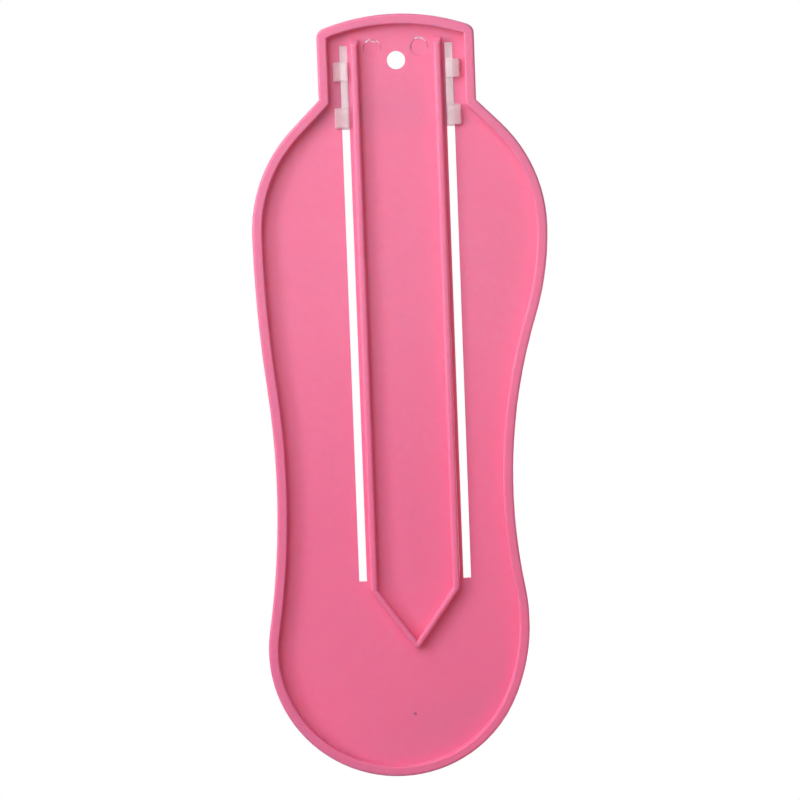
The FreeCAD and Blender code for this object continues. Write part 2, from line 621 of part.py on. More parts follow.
def draw_box(sketch, name, xs, ys, expressions):
    """Rectangle between two xs and two ys; expressions give its low x, width, low y and height."""
    (low_x, high_x), (low_y, high_y) = xs, ys
    lines = add_polygon(sketch, [point(low_x, low_y), point(high_x, low_y),
                                 point(high_x, high_y), point(low_x, high_y)])
    for line in (0, 2):
        tie(sketch, "Horizontal", lines[line])
        tie(sketch, "Vertical", lines[line + 1])
    low_x_expression, width_expression, low_y_expression, height_expression = expressions
    place_point(sketch, name + "_corner", low_x_expression, low_y_expression, lines[0], START)
    dimension(sketch, name + "_width", width_expression, "DistanceX", lines[0], START, lines[0], END)
    dimension(sketch, name + "_height", height_expression, "DistanceY", lines[1], START, lines[1], END)
    return finish_sketch(sketch)


def draw_yoke(sketch):
    """Plan of the slider: a cross bar with one runner over each slot, open toward the tab."""
    centre_x = size.slot_spacing / 2
    outer_x, inner_x = centre_x + size.runner_width / 2, centre_x - size.runner_width / 2
    right = [point(outer_x, 0), point(outer_x, size.runner_length), point(inner_x, size.runner_length),
             point(inner_x, size.bar_depth)]
    left = [point(-corner.x, corner.y) for corner in reversed(right)]
    lines = add_polygon(sketch, right + left)
    outer, end, inner, bar, left_inner, left_end, left_outer, face = lines
    tie(sketch, "Vertical", outer)
    tie(sketch, "Horizontal", end)
    tie(sketch, "Vertical", inner)
    for mine, mirrored in ((outer, left_outer), (end, left_end), (inner, left_inner)):
        tie(sketch, "Symmetric", mine, START, mirrored, END, VERTICAL_AXIS)
    tie(sketch, "Symmetric", bar, START, bar, END, VERTICAL_AXIS)
    tie(sketch, "PointOnObject", outer, START, HORIZONTAL_AXIS)
    place_point(sketch, "runner_end", "Sizes.slot_spacing / 2 + Sizes.runner_width / 2",
                "Sizes.runner_length", outer, END)
    dimension(sketch, "runner_width", "Sizes.runner_width", "DistanceX", end, END, end, START)
    dimension(sketch, "bar_depth", "Sizes.bar_depth", "DistanceY", HORIZONTAL_AXIS, START, bar, START)
    return finish_sketch(sketch)


def draw_toe_stop(sketch):
    """Upright toe stop, seen along the track, with rounded upper corners; it stands on the yoke."""
    half, radius = size.toe_stop_width / 2, size.toe_stop_corner
    low, high = size.slide_gap, size.toe_stop_height
    bottom = add_line(sketch, point(-half, low), point(half, low))
    right = add_line(sketch, point(half, low), point(half, high - radius))
    right_corner = add_arc(sketch, point(half - radius, high - radius), point(half, high - radius),
                           point(half - radius, high))
    top = add_line(sketch, point(half - radius, high), point(radius - half, high))
    left_corner = add_arc(sketch, point(radius - half, high - radius), point(radius - half, high),
                          point(-half, high - radius))
    left = add_line(sketch, point(-half, high - radius), point(-half, low))
    arch = [right, right_corner, top, left_corner, left]
    for before, after in zip(arch, arch[1:]):
        tie(sketch, "Tangent", before, END, after, START)
    tie(sketch, "Coincident", bottom, END, right, START)
    tie(sketch, "Coincident", left, END, bottom, START)
    tie(sketch, "Vertical", right)
    tie(sketch, "Equal", right_corner, left_corner)
    tie(sketch, "Symmetric", bottom, START, bottom, END, VERTICAL_AXIS)
    tie(sketch, "Symmetric", top, START, top, END, VERTICAL_AXIS)
    place_point(sketch, "foot_corner", "Sizes.toe_stop_width / 2", "Sizes.slide_gap", bottom, END)
    dimension(sketch, "corner", "Sizes.toe_stop_corner", "Radius", right_corner)
    dimension(sketch, "top_height", "Sizes.toe_stop_height", "DistanceY", HORIZONTAL_AXIS, START, top, START)
    return finish_sketch(sketch)


def draw_gusset(sketch):
    """Side view of one gusset, rooted in the toe stop and in its runner."""
    foot, head = size.toe_stop_thickness / 2, size.slide_gap + size.slider_thickness / 2
    reach = size.toe_stop_thickness + size.gusset_length
    top = size.slide_gap + size.slider_thickness + size.gusset_height
    floor = add_line(sketch, point(foot, head), point(reach, head))
    toe = add_line(sketch, point(reach, head), point(reach, head + size.slider_thickness))
    slope = add_line(sketch, point(reach, head + size.slider_thickness), point(foot, top))
    wall = add_line(sketch, point(foot, top), point(foot, head))
    for before, after in ((floor, toe), (toe, slope), (slope, wall), (wall, floor)):
        tie(sketch, "Coincident", before, END, after, START)
    tie(sketch, "Horizontal", floor)
    tie(sketch, "Vertical", toe)
    tie(sketch, "Vertical", wall)
    place_point(sketch, "root", "Sizes.toe_stop_thickness / 2",
                "Sizes.slide_gap + Sizes.slider_thickness / 2", floor, START)
    dimension(sketch, "reach", "Sizes.toe_stop_thickness + Sizes.gusset_length", "DistanceX",
              HORIZONTAL_AXIS, START, toe, START)
    dimension(sketch, "toe_height", "Sizes.slider_thickness", "DistanceY", toe, START, toe, END)
    dimension(sketch, "top", "Sizes.slide_gap + Sizes.slider_thickness + Sizes.gusset_height", "DistanceY",
              HORIZONTAL_AXIS, START, slope, END)
    return finish_sketch(sketch)


def leg_faces():
    """The inner and outer x of a leg, from the track axis."""
    inner_x = (size.slot_spacing - size.slot_width) / 2 + size.leg_gap
    return inner_x, inner_x + size.slot_width - 2 * size.leg_gap


def draw_hook(sketch):
    """Section of a snap hook across the track: its own stretch of the leg and a shelf under the floor."""
    inner_x, outer_x = leg_faces()
    nose_x = outer_x + size.hook_reach
    root_z = size.slide_gap + size.slider_thickness / 2
    shelf_z = -size.floor_thickness - size.slide_gap
    sole_z = shelf_z - size.hook_thickness
    corners = [point(inner_x, sole_z), point(nose_x, sole_z), point(nose_x, shelf_z),
               point(outer_x, shelf_z), point(outer_x, root_z), point(inner_x, root_z)]
    sole, nose, shelf, neck, root, back = add_polygon(sketch, corners)
    for line in (sole, shelf, root):
        tie(sketch, "Horizontal", line)
    for line in (nose, neck, back):
        tie(sketch, "Vertical", line)
    place_point(sketch, "root", INNER_LEG_FACE, "Sizes.slide_gap + Sizes.slider_thickness / 2", back, START)
    dimension(sketch, "leg_width", LEG_WIDTH, "DistanceX", root, END, root, START)
    dimension(sketch, "reach", "Sizes.hook_reach", "DistanceX", shelf, END, shelf, START)
    dimension(sketch, "shelf_z", "-Sizes.floor_thickness - Sizes.slide_gap", "DistanceY",
              HORIZONTAL_AXIS, START, shelf, START)
    dimension(sketch, "thickness", "Sizes.hook_thickness", "DistanceY", nose, START, nose, END)
    return finish_sketch(sketch)


def mirror(body, name, originals):
    feature = body.newObject("PartDesign::Mirrored", name)
    feature.Originals = originals
    feature.MirrorPlane = (origin_plane(body, "YZ_Plane"), [""])
    body.Tip = feature
    return finish_feature(body, feature, grows=True)


def build_slider():
    """One moulding: yoke with toe stop and gussets on the front, legs and snap hooks through the slots."""
    body = make_body("slider")
    yoke_sketch = draw_yoke(make_sketch(body, "yoke_plan", z="Sizes.slide_gap"))
    yoke = pad(body, yoke_sketch, "yoke", "Sizes.slider_thickness")

    def upright_runner_end(edge):
        box = edge.BoundBox
        return box.YMin > size.runner_length - TOLERANCE and box.XLength < TOLERANCE

    dress(body, "Fillet", "runner_ends", yoke, upright_runner_end, Radius="Sizes.runner_end_round")
    wall = pad(body, draw_toe_stop(make_sketch(body, "toe_stop_front", "XZ_Plane")), "toe_stop",
               "Sizes.toe_stop_thickness", Reversed=True)
    top_z = size.toe_stop_height

    def upper_wall_edge(edge):
        box = edge.BoundBox
        return box.ZMax > top_z - size.toe_stop_corner + TOLERANCE and box.YLength < TOLERANCE

    dress(body, "Chamfer", "toe_stop_bevel", wall, upper_wall_edge, Size="Sizes.toe_stop_bevel")

    gusset_sketch = make_sketch(body, "gusset_side", "YZ_Plane", z="Sizes.slot_spacing / 2")
    gusset = pad(body, draw_gusset(gusset_sketch), "gusset", "Sizes.gusset_thickness", Midplane=True)

    inner_x, outer_x = leg_faces()
    leg_sketch = make_sketch(body, "leg_plan", z="Sizes.slide_gap + Sizes.slider_thickness / 2")
    draw_box(leg_sketch, "leg", (inner_x, outer_x), (size.leg_setback, size.leg_setback + size.leg_length),
             (INNER_LEG_FACE, LEG_WIDTH, "Sizes.leg_setback", "Sizes.leg_length"))
    leg = pad(body, leg_sketch, "leg", "Sizes.slider_thickness / 2 + Sizes.slide_gap"
              " + Sizes.floor_thickness + Sizes.leg_proud", Reversed=True)

    hooks = []
    for name, offset in (("heel_hook", "-Sizes.leg_setback"),
                         ("toe_hook", "Sizes.toe_hook_length - Sizes.leg_setback - Sizes.leg_length")):
        section = draw_hook(make_sketch(body, name + "_section", "XZ_Plane", z=offset))
        hooks.append(pad(body, section, name, f"Sizes.{name}_length", Reversed=True))
    both_sides = mirror(body, "mirrored_side", [gusset, leg] + hooks)
    nose_x = outer_x + size.hook_reach

    def nose_corner(edge):
        box = edge.BoundBox
        return max(box.XLength, box.YLength) < TOLERANCE and abs(abs(box.XMin) - nose_x) < TOLERANCE

    noses = dress(body, "Fillet", "hook_noses", both_sides, nose_corner, Radius="Sizes.hook_round")
    sole_z = -size.floor_thickness - size.slide_gap - size.hook_thickness
    dress(body, "Chamfer", "hook_soles", noses, level_edge(sole_z), Size="Sizes.hook_bevel")

    body.setExpression("Placement.Base.x", "-Sizes.track_offset")
    body.setExpression("Placement.Base.y", "Sizes.overall_length / 2 - Sizes.slot_setback"
                       " - Sizes.slider_setback - Sizes.leg_length - Sizes.leg_setback")
    body.setExpression("Placement.Base.z", "Sizes.rim_depth + Sizes.floor_thickness")
    document.recompute()
    return body


# ---------------------------------------------------------------- build and export

def check_document(bodies):
    faulty = [item.Name for item in document.Objects if {"Invalid", "Error"} & set(item.State)]
    if faulty:
        raise RuntimeError(f"failed objects: {faulty}")
    for body in bodies:
        if body.Shape.isNull() or not body.Shape.isValid() or len(body.Shape.Solids) != 1:
            raise RuntimeError(f"{body.Label} is not one valid solid")


def report_travel():
    """Print what the gauge reads as set, and how far the slider can go each way in its slots."""
    stop_face_y = size.stop_inset + size.stop_thickness - size.overall_length / 2
    slot_toe_end = size.overall_length / 2 - size.slot_setback
    toe_face_y = slot_toe_end - size.slider_setback - size.leg_length - size.leg_setback
    toward_tab = size.slider_setback - size.travel_gap
    toward_heel = size.slot_length - size.slider_setback - size.leg_length - size.travel_gap
    print(f"reading {toe_face_y - stop_face_y:.1f}, slider travel {toward_heel:.2f} toward the heel "
          f"and {toward_tab:.2f} toward the tab")


make_sheet()
bodies = [build_base_plate(), build_slider()]
check_document(bodies)
report_travel()
os.makedirs("parts", exist_ok=True)
for body in bodies:
    box = body.Shape.optimalBoundingBox()
    print(f"{body.Label}: {body.Shape.Volume:.0f} mm3, x {box.XMin:.2f} to {box.XMax:.2f}, "
          f"y {box.YMin:.2f} to {box.YMax:.2f}, z {box.ZMin:.2f} to {box.ZMax:.2f}")
    body.Shape.exportStep(f"parts/{body.Label}.step")
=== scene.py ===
"""Foot measuring device: plastics, printed scale, moulding marks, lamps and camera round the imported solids.

Lengths are in metres in the solids' own frame: +Z out of the printed front, +Y to the hanging tab.
"""

import math
import random

import bmesh
import bpy
from bpy.props import FloatProperty, FloatVectorProperty, IntProperty, PointerProperty
from mathutils import Matrix, Vector


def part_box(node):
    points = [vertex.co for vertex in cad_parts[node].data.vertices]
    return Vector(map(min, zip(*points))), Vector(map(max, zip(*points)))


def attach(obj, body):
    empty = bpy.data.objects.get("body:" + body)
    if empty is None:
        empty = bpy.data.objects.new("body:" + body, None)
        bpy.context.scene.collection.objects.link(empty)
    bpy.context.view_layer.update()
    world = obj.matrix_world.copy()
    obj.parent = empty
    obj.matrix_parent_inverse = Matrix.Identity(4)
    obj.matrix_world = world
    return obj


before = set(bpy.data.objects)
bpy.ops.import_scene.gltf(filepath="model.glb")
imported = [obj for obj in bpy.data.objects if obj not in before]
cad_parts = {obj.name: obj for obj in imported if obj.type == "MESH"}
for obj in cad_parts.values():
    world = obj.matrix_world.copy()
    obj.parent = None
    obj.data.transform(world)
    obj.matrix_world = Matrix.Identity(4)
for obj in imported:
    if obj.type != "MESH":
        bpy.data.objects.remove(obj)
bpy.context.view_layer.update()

bl_info = {
    "name": "Foot Measuring Device",
    "version": (1, 0, 0),
    "blender": (4, 5, 0),
    "location": "3D View > Sidebar > Foot Gauge",
    "description": "Plastics, printed scale and moulding marks of a foot measuring device",
    "category": "Object",
}

MM = 0.001

# Heights of the plate's faces, the track that the slider runs in, and the heel stop's inner face
PLATE_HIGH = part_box("base_plate")[1]
SLIDER_LOW, SLIDER_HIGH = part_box("slider")
RIM_DEPTH = 3.6 * MM
FRONT_Z = 5.6 * MM
TRACK_X = -0.8 * MM
HEEL_STOP_Y = -115.6 * MM

# Printed scale: marks come every so many millimetres, with this length and width, and start SCALE_EDGE from
# the track's middle. A figure's height is CAPITAL_SHARE of the text's size.
SCALE_MARKS = ((10, 5.6 * MM, 0.42 * MM), (5, 4.1 * MM, 0.3 * MM), (1, 2.6 * MM, 0.22 * MM))
SCALE_EDGE = 12.2 * MM
INK_SUNK = 0.01 * MM
CAPITAL_SHARE = 0.7

# Ejector marks, and what the pins tore there: side of the track, start and sweep in degrees, millimetres
# outside the mark's edge, width in millimetres, and share of the burr height
EJECTOR_MARK_Y = PLATE_HIGH.y - 10.5 * MM
EJECTOR_MARK_SPREAD = 7.35 * MM
EJECTOR_MARK_RADIUS = 2.65 * MM
EJECTOR_FLASH = (
    (1, 44, 36, 0.1, 0.62, 1.5),
    (1, 84, 34, -0.5, 0.5, 1.1),
    (1, 118, 26, 0.1, 0.4, 1.0),
    (-1, 62, 56, 0.2, 0.62, 1.7),
    (-1, 120, 22, 0.05, 0.3, 0.8),
)
EJECTOR_BURRS = (
    (1, -14, 34, 0.1, 0.3, 0.6),
    (1, 160, 34, 0.1, 0.3, 0.6),
    (-1, -22, 42, 0.1, 0.34, 0.8),
    (-1, 150, 44, 0.1, 0.3, 0.5),
)
BURR_ROOT = 0.02 * MM

# Gates: the plate's stub as shares of its radius and height, and the slider's two lumps with their place
# along the hook, reach and half length in millimetres
PLATE_GATE = Vector((0.88 * MM, -100.7 * MM, RIM_DEPTH))
PLATE_GATE_PROFILE = ((1.25, -0.1), (1.0, 0.12), (0.86, 0.8), (0.7, 1.0), (0.0, 0.72))
SLIDER_GATE = Vector((TRACK_X - 19.65 * MM, SLIDER_HIGH.y - 11.3 * MM, SLIDER_LOW.z + 0.85 * MM))
SLIDER_GATE_LUMPS = ((0.0, 0.42, 1.25), (1.15, 0.3, 0.8))
SLIDER_GATE_HALF_HEIGHT = 0.62 * MM

# Lamps: direction from the object, distance, width, and share of the lamp level
LAMPS = (
    ("back_key", (0.42, 0.46, -0.56), 0.84, 0.9, 0.74),
    ("back_glint", (0.85, 0.12, -0.5), 1.0, 0.34, 0.22),
    ("back_sheen", (0.24, 0.44, -0.86), 0.6, 0.3, 0.12),
    ("back_fill", (-0.6, -0.5, -1.0), 1.4, 1.2, 0.08),
    ("front_key", (-0.62, -0.42, 0.95), 1.0, 0.62, 1.0),
    ("front_fill", (0.6, 0.5, 1.0), 1.4, 1.2, 0.12),
)

# Camera: the point it looks at, the way from there to the camera, its turn about the lens and its distance
CAMERA_TARGET = Vector((0.00187, -0.00058, 0))
CAMERA_AWAY = Vector((-0.00696, 0.08333, -0.9965))
CAMERA_ROLL = math.radians(2.137)
CAMERA_DISTANCE = 1.2

# Floor: FLOOR_GAP keeps it clear of the rim that rests on it
FLOOR_HALF_SIDE = 20
FLOOR_GAP = 0.05 * MM
FLOOR_COLOUR = (0.86, 0.86, 0.86, 1)
FLOOR_GLOW = (0.88, 0.88, 0.88, 1)


# ---------------------------------------------------------------- sizes and colours


class PlasticSettings(bpy.types.PropertyGroup):
    """The two plastics."""

    pink: FloatVectorProperty(
        name="Pink", description="Colour of the moulded plate",
        subtype="COLOR", size=3, min=0, max=1, default=(0.852, 0.206, 0.372),
    )
    pink_roughness: FloatProperty(
        name="Pink Roughness", description="Roughness of the moulded plate",
        subtype="FACTOR", min=0, max=1, default=0.42,
    )
    clear: FloatVectorProperty(
        name="Clear", description="Colour of the translucent slider",
        subtype="COLOR", size=3, min=0, max=1, default=(0.965, 0.79, 0.83),
    )
    clear_roughness: FloatProperty(
        name="Clear Roughness", description="Roughness of the translucent slider",
        subtype="FACTOR", min=0, max=1, default=0.34,
    )
    clear_transmission: FloatProperty(
        name="Clear Transmission", description="Share of light that passes through the slider",
        subtype="FACTOR", min=0, max=1, default=0.66,
    )


class ScaleSettings(bpy.types.PropertyGroup):
    """The centimetre scale printed on the front."""

    first: IntProperty(
        name="First Centimetre", description="Lowest number on the scale", min=1, default=6,
    )
    last: IntProperty(
        name="Last Centimetre", description="Highest number on the scale", min=2, default=20,
    )
    ink: FloatVectorProperty(
        name="Ink", description="Colour of the printed scale",
        subtype="COLOR", size=3, min=0, max=1, default=(0.88, 0.87, 0.86),
    )
    number_height: FloatProperty(
        name="Number Height", description="Height of the scale's numbers",
        unit="LENGTH", min=0, default=4.6 * MM,
    )
    ink_thickness: FloatProperty(
        name="Ink Thickness", description="How far the ink stands off the plate",
        unit="LENGTH", min=0, default=0.03 * MM,
    )


class MarkSettings(bpy.types.PropertyGroup):
    """What the mould left on the two parts."""

    burr_height: FloatProperty(
        name="Burr Height", description="Height of the burrs round the ejector marks",
        unit="LENGTH", min=0, default=0.16 * MM,
    )
    gate_radius: FloatProperty(
        name="Gate Radius", description="Radius of the plate's gate stub",
        unit="LENGTH", min=0, default=0.45 * MM,
    )
    gate_height: FloatProperty(
        name="Gate Height", description="Height of the plate's gate stub",
        unit="LENGTH", min=0, default=0.28 * MM,
    )


class StageSettings(bpy.types.PropertyGroup):
    """Lamps, surroundings and camera."""

    lamp_level: FloatProperty(
        name="Lamp Level",
        description="Light from the main lamp on each side, where 1 shows white as white",
        min=0, default=0.80,
    )
    surround_level: FloatProperty(
        name="Surround Level", description="Light from all round",
        min=0, default=0.11,
    )
    focal_length: FloatProperty(
        name="Focal Length", description="The camera's focal length",
        unit="CAMERA", min=1, default=172.2,
    )


# ---------------------------------------------------------------- materials


class Nodes:
    """The nodes of a material or a world, added one by one and laid out from left to right."""

    def __init__(self, owner):
        owner.use_nodes = True
        self.owner = owner
        self.tree = owner.node_tree
        self.tree.nodes.clear()
        self.count = 0

    def add(self, kind, label, **values):
        """One node, with values for its sockets by name and for its own settings."""
        node = self.tree.nodes.new(kind)
        node.label = label
        node.location = (220 * self.count, -40 * (self.count % 5))
        self.count += 1
        for name, value in values.items():
            socket = node.inputs.get(name.replace("_", " "))
            if hasattr(node, name):
                setattr(node, name, value)
            elif socket is not None:
                socket.default_value = value
            else:
                raise ValueError(f"{kind} has nothing named {name}")
        return node

    def link(self, output, socket):
        """Joins an output to an input."""
        self.tree.links.new(output, socket)

    def place(self):
        """The piece's own coordinates."""
        return self.add("ShaderNodeTexCoord", "Place").outputs["Object"]

    def noise(self, label, coordinates, scale, detail, roughness=0.5):
        """A noise pattern on the piece's own coordinates, with scale in features per metre."""
        node = self.add("ShaderNodeTexNoise", label, Scale=scale, Detail=detail, Roughness=roughness)
        self.link(coordinates, node.inputs["Vector"])
        return node.outputs["Fac"]

    def spread(self, label, value, low, high, start=0.3, end=0.7, **values):
        """A value's stretch from start to end spread over low to high."""
        node = self.add(
            "ShaderNodeMapRange", label, From_Min=start, From_Max=end, To_Min=low, To_Max=high, **values,
        )
        self.link(value, node.inputs["Value"])
        return node.outputs["Result"]

    def blend(self, label, factor, first, second):
        """A mix of two colours."""
        node = self.add("ShaderNodeMix", label, data_type="RGBA")
        self.link(factor, node.inputs["Factor"])
        for socket, colour in ((node.inputs["A"], first), (node.inputs["B"], second)):
            if isinstance(colour, bpy.types.NodeSocket):
                self.link(colour, socket)
            else:
                socket.default_value = (*colour, 1)
        return node.outputs["Result"]

    def eased_edges(self, label, radius):
        """Normals that turn softly over the edges, with radius in metres."""
        node = self.add("ShaderNodeBevel", label, samples=6, Radius=radius)
        return node.outputs["Normal"]

    def bump(self, label, height, distance, strength, under=None):
        """A bump from a height pattern, with distance in metres."""
        node = self.add("ShaderNodeBump", label, Strength=strength, Distance=distance)
        self.link(height, node.inputs["Height"])
        if under is not None:
            self.link(under, node.inputs["Normal"])
        return node.outputs["Normal"]

    def end(self, shader, kind="ShaderNodeOutputMaterial"):
        """Joins a shader's output to the material's or the world's own."""
        self.link(shader, self.add(kind, "Output").inputs["Surface"])
        return self.owner

    def end_in_plastic(self, label, colour, roughness, normal, **values):
        """Ends the material in a plastic or an ink with this colour, roughness and normal."""
        shader = self.add("ShaderNodeBsdfPrincipled", label, **values)
        for name, value in (("Base Color", colour), ("Roughness", roughness), ("Normal", normal)):
            self.link(value, shader.inputs[name])
        return self.end(shader.outputs["BSDF"])


def tinted(colour, factors):
    """A colour with each channel multiplied."""
    return tuple(min(1, channel * factor) for channel, factor in zip(colour, factors))


def make_pink_plastic(settings):
    """Self-coloured moulded ABS: soft flow patches, a fine mottle, a satin skin, and painted light, paler
    toward the tab.
    """
    nodes = Nodes(bpy.data.materials.new("moulded_pink"))
    place = nodes.place()
    pink = settings.pink
    flow = nodes.noise("Flow patches", place, 26, 2)
    mottle = nodes.noise("Mottle", place, 420, 3)
    flow_share = nodes.spread("Flow share", flow, 0, 1)
    mottle_share = nodes.spread("Mottle share", mottle, 0, 1)
    along = nodes.add("ShaderNodeSeparateXYZ", "Along the plate")
    nodes.link(place, along.inputs["Vector"])
    # Painted light: the pink pales toward the tab and deepens toward the heel, as if lit more at the tab end;
    # reach carries this painted falloff.
    reach = nodes.spread(
        "Painted falloff toward the tab", along.outputs["Y"], 0, 1, -50 * MM, 45 * MM, interpolation_type="SMOOTHSTEP",
    )

    def pinks(label, share, first, second):
        return nodes.blend(label, share, tinted(pink, first), tinted(pink, second))

    # Painted shade at the heel end and painted sheen at the tab end; far is the painted sheen.
    heel_end_painted_shade = pinks("Painted shade at the heel end", flow_share, (0.978, 0.885, 0.935), (0.99, 0.92, 0.965))
    far = pinks("Painted sheen at the tab end", flow_share, (1.0, 1.07, 1.03), (1.015, 1.125, 1.065))
    pink_with_painted_falloff = nodes.blend("Pink with painted falloff", reach, heel_end_painted_shade, far)
    # The mottle's deeper pink follows the same painted falloff.
    deeper_pink_with_painted_falloff = pinks("Deeper pink", reach, (0.97, 0.85, 0.91), (0.99, 1.03, 1.0))
    colour = nodes.blend("Mottled colour", mottle_share, deeper_pink_with_painted_falloff, pink_with_painted_falloff)
    gloss = nodes.spread("Gloss", mottle, settings.pink_roughness - 0.03, settings.pink_roughness + 0.05)
    waviness = nodes.noise("Waviness", place, 90, 1)
    grain = nodes.noise("Skin grain", place, 5200, 2)
    eased = nodes.eased_edges("Eased edges", 0.25 * MM)
    waved = nodes.bump("Waved skin", waviness, 0.03 * MM, 0.35, eased)
    grained = nodes.bump("Grained skin", grain, 0.006 * MM, 0.5, waved)
    return nodes.end_in_plastic(
        "Pink plastic", colour, gloss, grained, IOR=1.5, Specular_IOR_Level=0.4,
        Subsurface_Weight=0.6, Subsurface_Radius=(1.0, 0.07, 0.10), Subsurface_Scale=4.2 * MM,
    )


def make_clear_plastic(settings):
    """Milky natural polypropylene: light passes through it and scatters."""
    nodes = Nodes(bpy.data.materials.new("milky_clear"))
    place = nodes.place()
    milk = settings.clear
    clouds = nodes.noise("Clouds", place, 240, 3)
    share = nodes.spread("Cloud share", clouds, 0, 1)
    dim, bright = tinted(milk, (0.965, 0.94, 0.945)), tinted(milk, (1.02, 1.03, 1.03))
    colour = nodes.blend("Milky colour", share, dim, bright)
    gloss = nodes.spread("Gloss", clouds, settings.clear_roughness - 0.04, settings.clear_roughness + 0.06)
    grain = nodes.noise("Skin grain", place, 3800, 2)
    eased = nodes.eased_edges("Eased edges", 0.2 * MM)
    grained = nodes.bump("Grained skin", grain, 0.008 * MM, 0.5, eased)
    return nodes.end_in_plastic(
        "Clear plastic", colour, gloss, grained, IOR=1.49, Transmission_Weight=settings.clear_transmission,
        Subsurface_Weight=0.3, Subsurface_Radius=(1.0, 0.9, 0.9), Subsurface_Scale=1.0 * MM,
    )


def make_torn_plastic(settings):
    """Pink plastic that went white where the ejector pins tore it; its pale tones are also a painted
    highlight on the torn flash.
    """
    nodes = Nodes(bpy.data.materials.new("torn_glinting_pink"))
    tears = nodes.noise("Tears", nodes.place(), 1900, 3, 0.6)
    share = nodes.spread("Whitened share", tears, 0, 1)
    # Part real stress whitening, part painted highlight: the pale tones also stand in for light catching the
    # torn flash.
    whitened_glinting_pink, white = tinted(settings.pink, (1.04, 2.6, 1.9)), (0.97, 0.80, 0.86)
    colour = nodes.blend("Whitened and glinting colour", share, whitened_glinting_pink, white)
    sheen = nodes.spread("Sheen of the tears", tears, 0.22, 0.4)
    skin = nodes.bump("Torn skin", tears, 0.03 * MM, 0.6)
    return nodes.end_in_plastic("Torn plastic", colour, sheen, skin, IOR=1.5)


def make_ink(settings):
    """Pad-printed ink: matt, a little thin in spots."""
    nodes = Nodes(bpy.data.materials.new("scale_ink"))
    spots = nodes.noise("Thin spots", nodes.place(), 1500, 3, 0.6)
    share = nodes.spread("Thin share", spots, 0, 1)
    colour = nodes.blend("Ink colour", share, tinted(settings.ink, (0.97, 0.9, 0.92)), settings.ink)
    matt = nodes.spread("Matt", spots, 0.5, 0.65)
    skin = nodes.bump("Ink skin", spots, 0.004 * MM, 0.5)
    return nodes.end_in_plastic("Ink", colour, matt, skin, IOR=1.48)


def plastic_named(name, make, settings):
    """The plastic of that name, made the first time it is asked for."""
    return bpy.data.materials.get(name) or make(settings)


def dress(node_name, material):
    """Gives a CAD node its material."""
    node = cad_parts[node_name]
    if not node.material_slots:
        node.data.materials.append(material)
    for slot in node.material_slots:
        slot.material = material


# ---------------------------------------------------------------- mesh helpers


def finish_piece(name, mesh, body, material):
    """Closes a bmesh into an object at the origin that rides on a body."""
    bmesh.ops.remove_doubles(mesh, verts=mesh.verts, dist=0.0005 * MM)
    bmesh.ops.recalc_face_normals(mesh, faces=mesh.faces)
    data = bpy.data.meshes.new(name)
    mesh.to_mesh(data)
    mesh.free()
    data.materials.append(material)
    piece = bpy.data.objects.new(name, data)
    bpy.context.scene.collection.objects.link(piece)
    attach(piece, body)


def add_bar(mesh, centre, size):
    """A closed bar with its middle at centre."""
    matrix = Matrix.Translation(centre) @ Matrix.Diagonal((*size, 1))
    bmesh.ops.create_cube(mesh, size=1, matrix=matrix)


def add_text(mesh, words, height, centre, thickness):
    """Solid figures, centred, their back at centre's height. Text becomes a mesh before it is placed."""
    curve = bpy.data.curves.new("figures", "FONT")
    curve.body = words
    curve.size = height / CAPITAL_SHARE
    curve.extrude = thickness / 2
    curve.align_x = "CENTER"
    curve.resolution_u = 6
    text = bpy.data.objects.new("figures", curve)
    bpy.context.scene.collection.objects.link(text)
    bpy.context.view_layer.update()
    data = bpy.data.meshes.new_from_object(text)
    bpy.data.objects.remove(text)
    lows = [min(vert.co[axis] for vert in data.vertices) for axis in range(3)]
    highs = [max(vert.co[axis] for vert in data.vertices) for axis in range(3)]
    middle = Vector(((lows[0] + highs[0]) / 2, (lows[1] + highs[1]) / 2, lows[2]))
    data.transform(Matrix.Translation(Vector(centre) - middle))
    mesh.from_mesh(data)
    bpy.data.meshes.remove(data)


def add_ragged_arc(mesh, centre, radius, start, sweep, width, height, steps, rng):
    """A burr on the plate's back: a thin ridge spun along an arc, with a torn crest."""
    direction = Vector((math.cos(start), math.sin(start), 0))
    corners = [
        mesh.verts.new(centre + direction * (radius + across) + Vector((0, 0, rise)))
        for across, rise in ((-width / 2, BURR_ROOT), (0, -height), (width / 2, BURR_ROOT))
    ]
    bmesh.ops.spin(
        mesh, geom=[mesh.faces.new(corners)], cent=centre, axis=(0, 0, 1), angle=sweep, steps=steps,
        use_merge=False, use_duplicate=False,
    )
    for vert in mesh.verts:
        if vert.tag or vert.co.z >= centre.z - height * 0.5:
            continue
        vert.tag = True
        vert.co.z = centre.z - height * rng.uniform(0.35, 1.0)
        outward = (vert.co - centre).normalized()
        vert.co += Vector((outward.x, outward.y, 0)) * rng.uniform(-0.3, 0.3) * width


# ---------------------------------------------------------------- stage


